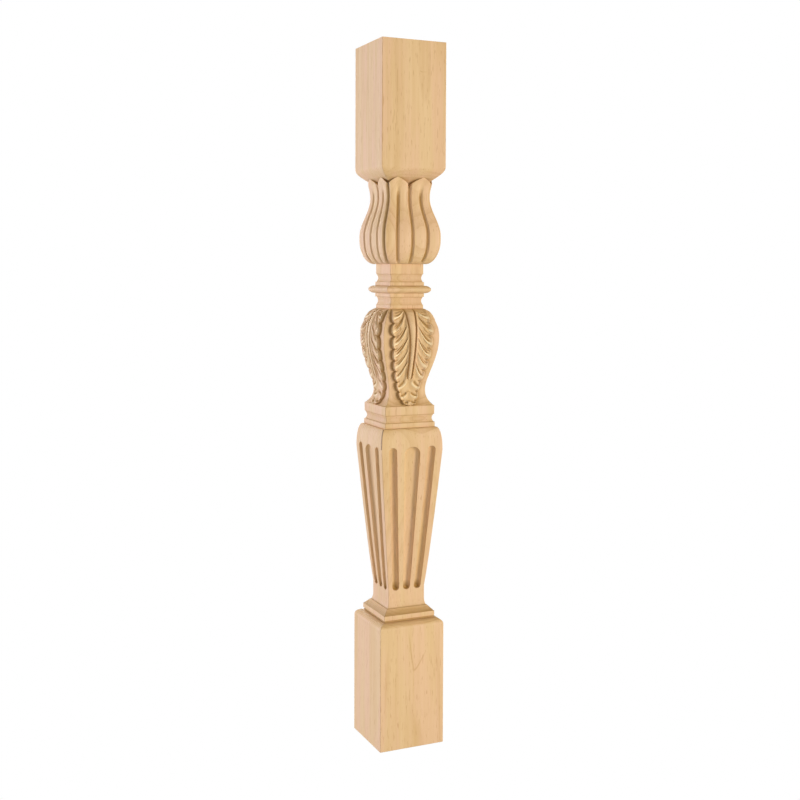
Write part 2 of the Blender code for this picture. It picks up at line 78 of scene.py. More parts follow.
arrisTurn = np.radians([0.0, 22.5, 45.0])  # columns round an eased arris, to its middle


# Profiles are lists of (height, half width), bottom to top. A side is four grids: across the
# side, out from the axis, height, and painted light: 1 is painted shade in a deep hollow, -1 a painted
# highlight on a crest.


def quarterIn(low, high, halfLow, halfHigh, count=9):
    # convex quarter oval, upright at the bottom and level at the top
    turn = np.linspace(0, math.pi / 2, count)
    half = halfHigh + (halfLow - halfHigh) * np.cos(turn)
    return np.c_[low + (high - low) * np.sin(turn), half]


def scoop(low, high, halfEdge, halfMiddle, count=13):
    # concave half wave between two equal edges
    part = np.linspace(0, 1, count)
    half = halfEdge - (halfEdge - halfMiddle) * np.sin(math.pi * part)
    return np.c_[low + (high - low) * part, half]


def band(low, high, half, ease):
    # upright band, each edge a quarter circle of the ease's radius
    turn = np.linspace(0, math.pi / 2, 4)
    below = np.c_[low + ease * (1 - np.cos(turn)), half - ease + ease * np.sin(turn)]
    above = np.c_[high - ease + ease * np.sin(turn), half - ease + ease * np.cos(turn)]
    return np.r_[below, above]


def nosing(low, high, halfEdge, halfMiddle, count=19):
    # half an oval that stands out between two equal edges, without the edges themselves
    turn = np.linspace(0, math.pi, count)[1:-1]
    half = halfEdge + (halfMiddle - halfEdge) * np.sin(turn)
    return np.c_[low + (high - low) / 2 * (1 - np.cos(turn)), half]


def innerCorners(height, half):
    # how sharply a profile turns inwards at each row: 0 where it is straight or turns outwards,
    # 1 where it turns inwards by half a right angle or more
    heading = np.arctan2(np.diff(half), np.diff(height))
    turn = np.zeros(len(height))
    turn[1:-1] = np.diff(heading)
    return np.clip(turn / (math.pi / 4), 0, 1)


def plainSide(profile, ease):
    # level rows: flat from the middle to the arris, then an eighth of a circle to the corner;
    # the rows in sharp inner corners are dark with painted shade
    height, half = np.asarray(profile, float).T
    flat = half[:, None] - ease
    inner = np.array([0.0, 0.35, 0.7, 1.0]) * (flat - 0.5)
    across = np.c_[inner, flat + ease * np.sin(arrisTurn)]
    out = np.c_[np.repeat(half[:, None], 4, axis=1), flat + ease * np.cos(arrisTurn)]
    columns = across.shape[1]
    deep = np.repeat(moulding["cornerShade"] * innerCorners(height, half)[:, None], columns, axis=1)
    return across, out, np.repeat(height[:, None], columns, axis=1), deep


def footSide():
    # base block, its rounded shoulder, quirk, plate, slope, and the hollow under the shaft, which
    # is a parabola in the sine of a quarter turn
    m = moulding
    block, plate = stockHalf, m["plateHalf"]
    quirk, slopeTop = plate - m["quirkDepth"], plate - m["slopeInset"]
    hollowFoot = slopeTop - m["slopeStep"]
    end = m["endEase"] * (1 - np.cos(np.radians([0, 30, 60, 90])))
    rows = list(np.c_[end, block - end[::-1]])
    rows += [(z, block) for z in (m["endRow"], *m["blockRows"], topOf["block"] - 1.0)]
    rows += list(quarterIn(topOf["block"], topOf["blockShoulder"], block, quirk))
    rows += [(topOf["quirk"], quirk)]
    rows += list(band(topOf["quirk"], topOf["plate"], plate, m["plateEase"]))
    rows += [(topOf["plateSlope"], slopeTop), (topOf["plateSlope"], hollowFoot)]
    shaft, low, high = shaftHalf(topOf["footHollow"]), topOf["plateSlope"], topOf["footHollow"]
    rise = np.sin(np.linspace(0, math.pi / 2, 9)[1:])
    rows += list(np.c_[low + (high - low) * rise, shaft + (hollowFoot - shaft) * (1 - rise) ** 2])
    return plainSide(rows, m["arrisEase"])


# Shaft and its flutes

flutes = {
    "footHalf": 25.4, "headHalf": 42.75, "taperPower": 0.88,
    "shoulderInset": 6.3, "shoulderPower": 2.4,
    "depth": 5.0, "footFluteHalf": 4.7, "sideHeadHalf": 5.6, "middleHeadHalf": 11.5,
    "footGap": 13.5, "headGap": 23.2, "wallRadius": 5.6, "endPower": 2.2,
    # narrowest chord of a flute's end, as a share of its half width, and how fast the columns
    # spread again beyond the end
    "narrowest": 0.06, "spread": 12.0, "widest": 0.8,
    # painted shade on the middle and outer floors, and at the low end: how much, how high, how far
    "middleFloorShade": 0.14, "outerFloorShade": 0.36,
    "lowEndShade": 1.5, "lowEndRise": 1.5, "lowEndReach": 6.0,
}


def shaftHalf(height):
    # upright foot, slightly full taper, then a rounded shoulder
    f, height = flutes, np.asarray(height, float)
    taper = np.clip((height - topOf["shaftFoot"]) / stages["shaftTaper"], 0, 1) ** f["taperPower"]
    over = np.clip((height - topOf["shaftTaper"]) / stages["shaftShoulder"], 0, 1)
    rounding = 1 - np.sqrt(1 - over ** f["shoulderPower"])
    return f["footHalf"] + (f["headHalf"] - f["footHalf"]) * taper - f["shoulderInset"] * rounding


def fluteColumns(height, share, fluteHalf, centre, footEnd, headEnd):
    # columns across a flute close in to its round ends; its depth is a quarter circle from
    # the wall's edge inwards, measured from the nearest point of the outline
    f, power = flutes, flutes["endPower"]
    past = np.maximum(height - (headEnd - fluteHalf), footEnd + fluteHalf - height)
    beyond = np.maximum(np.maximum(height - headEnd, footEnd - height), 0)
    endTurn = np.clip(np.maximum(past, 0) / fluteHalf, 0, 1)
    chord = np.maximum((1 - endTurn ** power) ** (1 / power), f["narrowest"])
    chord = np.maximum(chord, np.clip(beyond / f["spread"], 0, f["widest"]))
    offset = (chord[:, None] * fluteHalf[:, None]) * np.sin(math.pi / 2 * share)[None, :]
    aside = np.abs(offset) / fluteHalf[:, None]
    away = (aside ** power + endTurn[:, None] ** power) ** (1 / power)
    wall = np.minimum(fluteHalf, f["wallRadius"])[:, None]
    inside = np.clip(fluteHalf[:, None] * (1 - away), 0, wall)
    depth = f["depth"] * np.sqrt(np.clip(1 - (1 - inside / wall) ** 2, 0, 1))
    depth = np.where(beyond[:, None] > 0, 0.0, depth)
    return centre[:, None] + offset, depth


def shaftRows(footEnd, headEnd):
    # heights of the rows: they close up towards the flutes' ends and over the shoulder, as the
    # sine and cosine of a quarter turn, with a few even rows between and beyond the ends
    f = flutes
    footTurn, headTurn, shoulderTurn = (np.linspace(0, math.pi / 2, n) for n in (13, 18, 15))
    height = np.r_[
        topOf["footHollow"], footEnd - 5.0, footEnd - 0.4,
        footEnd + f["footFluteHalf"] * (1 - np.cos(footTurn)),
        np.linspace(footEnd + 12, headEnd - f["middleHeadHalf"] - 6, 11),
        headEnd - f["middleHeadHalf"] * (1 - np.sin(headTurn)),
        headEnd + 0.3, headEnd + 4.0,
    ]
    low, high = height[-1], topOf["shaftShoulder"]
    return np.r_[height, low + (high - low) * np.sin(shoulderTurn[1:])]


def shaftSide():
    # columns run flute, flat, flute, flat, arris; both kinds of flute widen evenly upwards
    f, ease = flutes, moulding["arrisEase"]
    ends = topOf["footHollow"] + f["footGap"], topOf["shaftShoulder"] - f["headGap"]
    height = shaftRows(*ends)
    half = shaftHalf(height)
    part = np.clip((height - ends[0]) / (ends[1] - ends[0]), 0, 1)
    sideHalf = f["footFluteHalf"] + (f["sideHeadHalf"] - f["footFluteHalf"]) * part
    middleHalf = f["footFluteHalf"] + (f["middleHeadHalf"] - f["footFluteHalf"]) * part
    flat = (half - middleHalf - 2 * sideHalf) / 2
    sideCentre = middleHalf + flat + sideHalf
    middle, middleDepth = fluteColumns(height, np.linspace(0, 1, 10), middleHalf, 0 * half, *ends)
    outer, outerDepth = fluteColumns(height, np.linspace(-1, 1, 17), sideHalf, sideCentre, *ends)
    flatPart = np.array([0.06, 0.5, 0.94])
    between = middle[:, -1:] + (outer[:, :1] - middle[:, -1:]) * flatPart
    last = half[:, None] - ease
    beyond = outer[:, -1:] + (last - outer[:, -1:]) * flatPart
    across = np.c_[middle, between, outer, beyond, last + ease * np.sin(arrisTurn)]
    face = np.repeat(half[:, None], 3, axis=1)
    middleFloor, outerFloor = half[:, None] - middleDepth, half[:, None] - outerDepth
    out = np.c_[middleFloor, face, outerFloor, face, last + ease * np.cos(arrisTurn)]
    none = np.zeros_like(face)
    # painted shade on the flute floors, growing with their depth, and more at their low ends
    floors = [f["middleFloorShade"] * middleDepth ** 2, none, f["outerFloorShade"] * outerDepth ** 2]
    deep = np.c_[(*floors, none, none)] / f["depth"] ** 2
    nearEnd = bump(height - ends[0] - f["lowEndRise"], f["lowEndReach"])[:, None]
    lowEnd = nearEnd * np.c_[middleDepth, none, outerDepth, none, none] / f["depth"]
    deep = np.clip(deep + f["lowEndShade"] * lowEnd, 0, 1)
    return across, out, np.repeat(height[:, None], across.shape[1], axis=1), deep


def plinthSide():
    # bead, hollow and plinth under the vase
    m = moulding
    rows = np.r_[
        band(topOf["shaftShoulder"], topOf["bead"], m["beadHalf"], m["edgeEase"]),
        scoop(topOf["bead"], topOf["hollow"], m["plinthHalf"] - m["edgeEase"], m["hollowHalf"]),
        band(topOf["hollow"], topOf["plinth"], m["plinthHalf"], m["edgeEase"])[1:],
    ]
    return plainSide(rows, m["arrisEase"])


# Vase and its leaves

vase = {
    "footHalf": 33.5, "waistHalf": 25.5, "waistRise": 20.7, "bellyHalf": 39.0,
    "bellyDrop": 35.5, "headHalf": 24.3, "flarePower": 2.6, "risePower": 0.80,
    "shoulderPower": 1.7, "arrisEase": 0.6,
}

leaf = {
    # heights are above the vase's foot
    # shape of the edge: the leaf's half width, by height of the edge, between the notches
    "outline": [(123.5, 22.5), (115.7, 25.5), (105.7, 28.6), (95.7, 29.7), (78.7, 28.3),
                (63.7, 26.7), (50.7, 24.2), (36.7, 20.6), (25.7, 17.0), (15.7, 14.2),
                (7.7, 11.6), (2.7, 8.0), (0.6, 1.5)],
    # height of each notch in the edge, and how far in it cuts
    "notches": [(123.5, 0.0), (106.0, 4.2), (89.5, 4.4), (73.3, 3.0), (58.7, 2.6),
                (44.7, 2.8), (30.7, 3.0), (18.0, 2.2), (6.7, 1.8), (0.6, 0.0)],
    "scallopPower": 0.55, "cornerClear": 3.4,  # roundness of a lobe, and room left to the arris
    # how far the rows climb from the edge to the rib, by height of the edge
    "sweep": [(0.6, 0), (4.7, 2.1), (11.2, 4.8), (18.7, 8), (24.2, 11), (28.7, 16.5),
              (32.7, 20.5), (38.2, 22.5), (65.7, 25), (90.7, 24), (97.7, 21.5), (105.7, 15),
              (115.7, 6.6), (123.5, 0)],
    "sweepPower": 2.0,
    # height over the vase: the blade and its crown, its rolled rim, the wall at its edge, the
    # room above it, and where it sinks at the top
    "relief": 4.7, "crown": 0.5, "rimRoll": 1.6, "rimDrop": 1.2, "wallWidth": 0.9,
    "margin": 0.7, "topFade": 4.0, "topFadePower": 0.6,
    # vein of each lobe, top lobe first: depth, half width, and where it starts and ends on the
    # way from the rib to the edge
    "veins": [(1.7, 1.6, 0.12, 0.80), (4.0, 3.8, 0.04, 0.86), (3.5, 2.2, 0.02, 0.92),
              (3.3, 1.9, 0.02, 0.88), (2.2, 1.5, 0.05, 0.86), (3.2, 1.8, 0.00, 0.92),
              (3.0, 1.8, 0.14, 0.95), (3.0, 1.8, 0.10, 0.95), (2.6, 1.6, 0.10, 0.95)],
    "fall": 1.2, "scoop": 1.9,  # the blade's slow fall and its channel, from vein to vein
    "creaseDepth": 2.0, "creaseWidth": 1.0, "creaseStart": 0.68,  # at the notches
    # fine grooves between the veins: lobe, and place from the notch above it to the next
    "scrolls": [(0, 0.25), (0, 0.5), (0, 0.76), (1, 0.14), (1, 0.28), (1, 0.74), (1, 0.88),
                (2, 0.2), (2, 0.78), (3, 0.24), (3, 0.76), (4, 0.3)],
    "scrollDepth": 1.1, "scrollWidth": 0.95,
    # rib: its height, half widths, flare and lower end, its round top, and the grooves beside it
    "ribRelief": 5.3, "ribTopHalf": 6.0, "ribHalf": 2.4, "ribFlare": 2.5, "ribRound": 1.3,
    "ribEnd": 33.2, "ribFade": 5.0, "ribGroove": 2.3, "ribGrooveWidth": 2.2,
    # how dark the painted shade in the cuts is, the depth at which a vein is fully dark, the painted
    # highlight on the crest past it, and the painted shade on the columns from the rib into its
    # groove, and the painted shadow from the leaf's wall over the ground
    "fullShadeDepth": 1.8, "creaseShade": 0.7, "scrollShade": 0.4, "channelShade": 0.08,
    "crestHighlight": 0.9, "crestAt": 0.16,
    "ribShade": (-0.1, -0.1, -0.1, 0.1, 0.5, 0.9, 1.0, 0.5),
    "wallShadow": (0.4, 0.75, 0.85, 0.85, 0.6, 0.2, 0.0, 0.0, 0.0, 0.0, 0.0),
}


def vaseHalf(height):
    # flared foot, smooth rise from waist to belly, and a rounded shoulder
    v, height = vase, np.asarray(height, float)
    waistAt, bellyAt = topOf["plinth"] + v["waistRise"], topOf["vase"] - v["bellyDrop"]
    flare = np.clip((waistAt - height) / v["waistRise"], 0, 1) ** v["flarePower"]
    rise = np.clip((height - waistAt) / (bellyAt - waistAt), 0, 1) ** v["risePower"]
    over = np.clip((height - bellyAt) / v["bellyDrop"], 0, 1)
    low = v["waistHalf"] + (v["footHalf"] - v["waistHalf"]) * flare
    middle = v["waistHalf"] + (v["bellyHalf"] - v["waistHalf"]) * 0.5 * (1 - np.cos(math.pi * rise))
    rounding = (1 - over ** 2) ** (0.5 * v["shoulderPower"])
    high = v["headHalf"] + (v["bellyHalf"] - v["headHalf"]) * rounding
    return np.where(height < waistAt, low, np.where(height < bellyAt, middle, high))


def along(pairs, height):
    # straight-line reading of a list of (height above the vase's foot, value)
    heights, values = zip(*sorted(pairs))
    return np.interp(height - topOf["plinth"], heights, values)


def bump(distance, width):
    # smooth hill: 1 at no distance, 0 from the width on
    return np.clip(1 - (distance / width) ** 2, 0, 1) ** 2


def trough(distance, width):
    # groove with a round bottom and crisp edges: 1 in its middle, 0 from the width on
    return np.clip(1 - (distance / width) ** 2, 0, 1)


def leafRows():
    # rows by height of the leaf's edge: each lobe has rows close together at its vein and notches
    notches = [topOf["plinth"] + n[0] for n in leaf["notches"]]
    lobe, part = [], []
    for k in range(len(notches) - 1):
        count = 17 if k < 6 else 15  # fewer rows on the small lobes of the tip
        even = np.linspace(0, 1, count)[:-1]
        lobe += [k] * (count - 1)
        part += list(even + 0.055 * np.sin(4 * math.pi * even))
    lobe, part = np.array(lobe + [len(notches) - 2]), np.array(part + [1.0])
    edgeZ = np.interp(lobe + part, np.arange(len(notches)), notches)
    return edgeZ[::-1], lobe[::-1], part[::-1]


def fades(u, start, rise, end, fall):
    # 0 up to the start, up to 1 over the rise, and down again to 0 at the end
    return np.clip((u - start) / rise, 0, 1) * np.clip((end - u) / fall, 0, 1)


def leafVeins(lobe, fromVein, u):
    # one groove along the middle of each lobe, widest half way along it
    depth, width, start, end = (np.array(leaf["veins"])[lobe][:, i, None] for i in range(4))
    alongVein = fades(u, start, 0.15, end, 0.25)
    alongVein = alongVein * alongVein * (3 - 2 * alongVein)
    wide = width * (0.45 + 0.55 * np.sin(math.pi * np.clip(u / end, 0, 1)) ** 0.8)
    return depth, trough(fromVein[:, None], wide) * alongVein


def leafScrolls(lobe, part, lobeTall, u):
    # fine grooves beside the veins, on the outer part of the blade
    f, scroll = leaf, np.zeros_like(u)
    for which, at in f["scrolls"]:
        line = bump((part[:, None] - at) * lobeTall[:, None], f["scrollWidth"])
        line = line * (lobe[:, None] == which)
        scroll = scroll + line * np.clip((u - 0.3) / 0.15, 0, 1) * np.clip((0.93 - u) / 0.15, 0, 1)
    return scroll


def leafRelief(lobe, part, u, ribbed):
    # height of the blade over the vase: full relief with a crown, less a slow fall and a channel
    # from each vein to the next, the veins, the creases at the notches and the fine scrolls;
    # the channels run out beside the rib, or meet in the middle where there is none
    f = leaf
    lobeTall = -np.diff([n[0] for n in f["notches"]])[lobe]
    pastVein = ((part - 0.5) % 1.0)[:, None]
    depth, vein = leafVeins(lobe, (part - 0.5) * lobeTall, u)
    besideRib = 1 - ribbed[:, None] * (1 - np.clip(u / 0.14, 0, 1))
    fall = f["fall"] * (pastVein ** 1.3) * besideRib * np.clip((1.02 - u) / 0.3, 0, 1)
    channel = np.sin(math.pi * pastVein) * besideRib * np.clip((0.94 - u) / 0.16, 0, 1)
    toNotch = (np.minimum(part, 1 - part) * lobeTall)[:, None]
    crease = bump(toNotch, f["creaseWidth"]) * np.clip((u - f["creaseStart"]) / 0.2, 0, 1)
    crease = crease * ((lobe[:, None] > 0) | (part[:, None] > 0.5))  # none at the very top
    scroll = leafScrolls(lobe, part, lobeTall, u)
    # painted highlight on the crest just past each vein
    paintedHighlight = bump(pastVein - f["crestAt"], f["crestAt"])
    paintedHighlight = paintedHighlight * np.clip((u - 0.05) / 0.2, 0, 1) * np.clip((1.0 - u) / 0.2, 0.3, 1)
    blade = f["relief"] + f["crown"] * np.sin(math.pi * u)
    cut = depth * vein + f["creaseDepth"] * crease + f["scrollDepth"] * scroll
    # painted shade in the veins, creases, scrolls and channels, less the painted highlight on the
    # crests
    dark = np.clip(depth / f["fullShadeDepth"], 0, 1) * vein + f["creaseShade"] * crease
    dark = dark + f["scrollShade"] * scroll + f["channelShade"] * channel - f["crestHighlight"] * paintedHighlight
    tall = blade - (fall + f["scoop"] * channel) * (1 - 0.7 * vein) - cut
    return tall, np.clip(dark, -1, 1)


def leafEdge(edgeZ, lobe, part):
    # half width of the leaf: its outline less the notches, kept clear of the arris
    f = leaf
    scallop = 1 - np.sin(math.pi * part) ** f["scallopPower"]
    depths = np.array([n[1] for n in f["notches"]])
    notch = np.where(part < 0.5, depths[lobe], depths[lobe + 1]) * scallop
    return np.minimum(along(f["outline"], edgeZ) - notch, vaseHalf(edgeZ) - f["cornerClear"])


def ribWidths(ribZ, edge):
    # half widths of the rib and of the groove beside it, and how far there is a rib, 0 to 1
    f, end = leaf, topOf["plinth"] + leaf["ribEnd"]
    flare = np.clip((ribZ - end) / (topOf["vase"] - end), 0, 1) ** f["ribFlare"]
    hasRib = np.clip((ribZ - end) / f["ribFade"], 0, 1)
    hasRib = (hasRib * (2 - hasRib)) ** 0.5
    full = f["ribHalf"] + (f["ribTopHalf"] - f["ribHalf"]) * flare
    rib = np.minimum(full * (0.25 + 0.75 * hasRib), 0.33 * edge)
    groove = np.minimum(rib + f["ribGrooveWidth"] * (0.3 + 0.7 * hasRib), 0.55 * edge)
    return rib, groove, hasRib


def leafSide():
    # rows leave the rib high and sweep down and out to the edge: height = edge + sweep (1 - u)^2,
    # u = 0 beside the rib and 1 at the edge; past the edge they run level to the corner
    f, ease = leaf, vase["arrisEase"]
    edgeZ, lobe, part = leafRows()
    sweep = along(f["sweep"], edgeZ)
    ribZ = edgeZ + sweep
    edge = leafEdge(edgeZ, lobe, part)
    rib, groove, hasRib = ribWidths(ribZ, edge)
    # columns of the rib, the groove beside it, the blade, the wall, the ground and the arris
    ribShare = np.array([0.0, 0.3, 0.6, 0.85, 1.0])
    ribAcross = rib[:, None] * ribShare
    grooveAcross = rib[:, None] + (groove - rib)[:, None] * np.array([0.3, 0.6, 0.85])
    u = np.r_[0.0, 0.04, np.linspace(0.09, 0.91, 24), 0.955, 1.0]
    bladeAcross = groove[:, None] + (edge - groove)[:, None] * u
    wallAcross = edge[:, None] + f["wallWidth"] * np.array([0.22, 0.42, 0.62, 1.0])
    flatEnd = vaseHalf(edgeZ)[:, None] - ease
    ground = (flatEnd - wallAcross[:, -1:]) * np.array([0.12, 0.35, 0.65, 0.95])
    groundAcross = wallAcross[:, -1:] + ground
    arris = flatEnd + ease * np.sin(arrisTurn)
    across = np.c_[ribAcross, grooveAcross, bladeAcross, wallAcross, groundAcross, arris]
    # their heights above the floor
    uGrid = np.repeat(u[None, :], len(edgeZ), axis=0)
    bladeZ = edgeZ[:, None] + sweep[:, None] * (1 - uGrid) ** f["sweepPower"]
    ribLevel, level = (np.repeat(z[:, None], n, axis=1) for z, n in ((ribZ, 8), (edgeZ, 11)))
    height = np.c_[ribLevel, bladeZ, level]
    # and over the vase: the rib and its groove stand on the blade's inner edge, which runs on
    # where there is no rib
    bladeTall, cut = leafRelief(lobe, part, uGrid, hasRib)
    inner, ribbed = bladeTall[:, :1], hasRib[:, None]
    ribTall = inner + (f["ribRelief"] - f["ribRound"] * ribShare ** 3 - inner) * ribbed
    grooveTall = inner - f["ribGroove"] * np.array([0.95, 0.85, 0.45]) * ribbed
    rolled = (f["rimRoll"] / np.maximum(edge - groove, 2.0))[:, None]
    roll = np.clip((uGrid - 1 + rolled) / rolled, 0, 1)
    bladeTall = bladeTall - f["rimDrop"] * (1 - np.sqrt(1 - roll ** 2))
    wallTall = bladeTall[:, -1:] * np.array([0.62, 0.26, 0.06, 0.0])
    tall = np.c_[ribTall, grooveTall, bladeTall, wallTall, np.zeros((len(edgeZ), 7))]
    toTop = (topOf["vase"] - f["margin"] - height) / f["topFade"]
    out = vaseHalf(height) + tall * np.clip(toTop, 0, 1) ** f["topFadePower"]
    out[:, -3:] = flatEnd + ease * np.cos(arrisTurn)
    # painted shade in the rib's groove, with a slight painted highlight on the rib
    besideRib = cut[:, :1] * (1 - ribbed) + np.array(f["ribShade"]) * ribbed
    # painted shadow from the leaf's wall out over the ground
    besideWall = np.repeat(np.array([f["wallShadow"]]), len(edgeZ), axis=0)
    deep = np.c_[besideRib, cut, besideWall]
    return across, np.minimum(out, stockHalf - 0.2), height, deep


# Neck and cup

cup = {
    "height": 96.0, "footHalf": 26.0, "bellyHalf": 40.9, "bellyRise": 31.5, "bellyHeight": 4.0,
    "waistHalf": 30.05, "waistRise": 85.5, "flare": 5.2, "pointRise": 14.0,
    # middle groove and petal creases: half width, depth, the crease's place as a share of the
    # cup's half width, and how both run out at the foot and under the points
    "grooveHalf": 2.9, "grooveDepth": 2.5, "creaseAt": 0.52, "creaseDrop": 0.5, "crown": 0.5,
    "footFade": 5.0, "pointFade": 9.0, "fadePower": 0.5,
    "cornerHalf": 3.5, "cornerDepth": 3.0,
    "lipRound": 0.5, "recess": 0.6,
    "throatHalf": 24.2, "throatHeight": 24.3, "throatPower": 0.8,
    # how dark the painted shade in the corner grooves is, and the painted highlight on the cut sides
    # of the others: place and width as shares of the groove's half width
    "cornerShade": 0.9, "flankHighlight": 0.3, "flankAt": 0.8, "flankWidth": 0.3,
}


def neckSide():
    # fillet, hollow and fillet, the disc, and the same again above it
    m, small = moulding, moulding["neckEase"]
    rows = np.r_[
        band(topOf["vase"], topOf["fillet"], m["neckHalf"], small),
        scoop(topOf["fillet"], topOf["lowHollow"], m["neckHalf"] - small, m["neckHollowHalf"]),
        band(topOf["lowHollow"], topOf["discFillet"], m["filletHalf"], small)[:5],
        [(topOf["discFillet"], m["filletHalf"])],
        nosing(topOf["discFillet"], topOf["disc"], m["filletHalf"], m["discHalf"]),
        [(topOf["disc"], m["filletHalf"])],
        band(topOf["disc"], topOf["highFillet"], m["filletHalf"], small)[3:],
        scoop(topOf["highFillet"], topOf["highHollow"], m["neckHalf"] - small, m["neckHollowHalf"]),
        [(topOf["highHollow"] + small, m["neckHalf"]), (topOf["neck"], m["neckHalf"])],
    ]
    return plainSide(rows, m["neckArrisEase"])


def cupHalf(height):
    # round foot, upright belly, smooth waist, and a slight flare to the points
    c, rise = cup, np.asarray(height, float) - topOf["neck"]
    bellyTop = c["bellyRise"] + c["bellyHeight"]
    under = np.clip((c["bellyRise"] - rise) / c["bellyRise"], 0, 1)
    over = np.clip((rise - bellyTop) / (c["waistRise"] - bellyTop), 0, 1)
    out = np.clip((rise - c["waistRise"]) / (c["height"] + c["pointRise"] - c["waistRise"]), 0, 1.2)
    low = c["footHalf"] + (c["bellyHalf"] - c["footHalf"]) * np.sqrt(1 - under ** 2)
    high = c["bellyHalf"] + (c["waistHalf"] - c["bellyHalf"]) * 0.5 * (1 - np.cos(math.pi * over))
    return np.where(rise < c["bellyRise"], low, high + c["flare"] * out ** 2)


def cupAcross(half):
    # columns: out from the middle groove, over the petal, across its crease, over the petal
    # again, and into the corner groove
    c = cup
    near = np.array([0.0, 0.2, 0.4, 0.6, 0.8, 0.93, 1.0, 1.1, 1.35]) * c["grooveHalf"]
    gap = np.array([0.25, 0.5, 0.75])
    crease = c["creaseAt"] * half[:, None]
    left = near[None, :] + 0 * half[:, None]
    inner = crease - near[::-1][None, :]
    body = left[:, -1:] + (inner[:, :1] - left[:, -1:]) * gap
    outer = crease + near[1:][None, :]
    wall = np.array([3.0, 1.6, 1.0, 0.9, 0.7, 0.4]) * (c["cornerHalf"] - c["cornerDepth"])
    corner = half[:, None] - c["cornerDepth"] - wall[None, :]
    outerBody = outer[:, -1:] + (corner[:, :1] - outer[:, -1:]) * gap
    return np.c_[left, body, inner, outer, outerBody, corner]


def pointHeight(share):
    # height of the petals' edge: a pointed arch over each petal
    c, at = cup, cup["creaseAt"]
    away = np.where(share < at, (at - share) / at, (share - at) / (1 - at))
    return topOf["neck"] + c["height"] + c["pointRise"] * np.sqrt(np.clip(1 - away, 0, 1))


def creaseFadeAt(height):
    # 1 on the body of a petal, and 0 at its point
    c = cup
    toPoint = topOf["neck"] + c["height"] - c["creaseDrop"] - height
    return np.clip(toPoint / c["pointFade"], 0, 1) ** c["fadePower"]


def petalSurface(across, height, fade, creaseFade, levelHalf=None):
    # the cup's half width less the grooves, with a slight crown on each half petal; where the
    # rows climb, the grooves widen with the cup from its half width at the level row below
    c, at, grooveHalf = cup, cup["creaseAt"], cup["grooveHalf"]
    half = cupHalf(height)
    ruler = half if levelHalf is None else levelHalf
    place = across / half * ruler
    fromCrease = place - at * ruler
    middle = trough(place, grooveHalf)
    crease = trough(fromCrease, grooveHalf) * creaseFade
    cornerWall = c["cornerHalf"] - c["cornerDepth"]
    corner = np.clip((c["cornerHalf"] - ruler + place) / cornerWall, 0, 1)
    cut = c["grooveDepth"] * (middle * fade + crease) + c["cornerDepth"] * corner * fade
    fromEdge = (half - across) / (half * (1 - at))
    swell = np.where(across < at * half, across / (at * half), fromEdge)
    body = c["crown"] * np.sin(math.pi * np.clip(swell, 0, 1)) ** 2
    # painted shade along the bottom of each groove, and a painted highlight on its cut sides
    flankAt, flankWidth = c["flankAt"] * grooveHalf, c["flankWidth"] * grooveHalf
    flank = bump(np.abs(place) - flankAt, flankWidth) * fade
    flank = flank + bump(np.abs(fromCrease) - flankAt, flankWidth) * creaseFade
    dark = middle ** 3 * fade + crease ** 3 + c["cornerShade"] * corner ** 2 * fade
    dark = np.clip(dark - c["flankHighlight"] * flank, -1, 1)
    return half - cut + body * (1 - middle) * (1 - corner), dark


def climbingRow(share, low, levelHalf, part):
    # row that has climbed this part of the way from the last level row to the petals' edge
    height = low + (pointHeight(share) - low) * part
    half = cupHalf(height)
    across = share * half
    edgeRound = cup["lipRound"] * bump(np.array(1 - part), 0.2)
    out, deep = petalSurface(across, height, 1.0, creaseFadeAt(height), levelHalf)
    out = out - edgeRound
    across[-1] = out[-1] = half[-1] - cup["cornerDepth"] - edgeRound
    return across, out, height, deep


def recessRows(share, lipAcross, lipOut):
    # over the lip, down behind the petals to the throat, and up the throat, with painted shade in the
    # recess that fades out up the throat
    rows, edge = [], pointHeight(share)
    behind = throatHalf(edge)
    for inward, rise in ((0.3, 0.25), (1.0, 0.0)):
        across = lipAcross + (share * behind - lipAcross) * inward
        out = lipOut + (behind - lipOut) * inward
        # painted shade over the lip and down into the recess
        rows.append((across, out, edge + rise, np.full_like(across, 0.3 + 0.5 * inward)))
    high = topOf["neck"] + cup["height"] + cup["pointRise"] + cup["recess"]
    for part in (0.25, 0.6, 1.0):
        height = edge + (high - edge) * part
        out = throatHalf(height)
        across = share * out
        across[-1] = out[-1]
        # painted shade fading out up the throat
        rows.append((across, out, height, np.full_like(across, 0.8 * (1 - part))))
    return rows


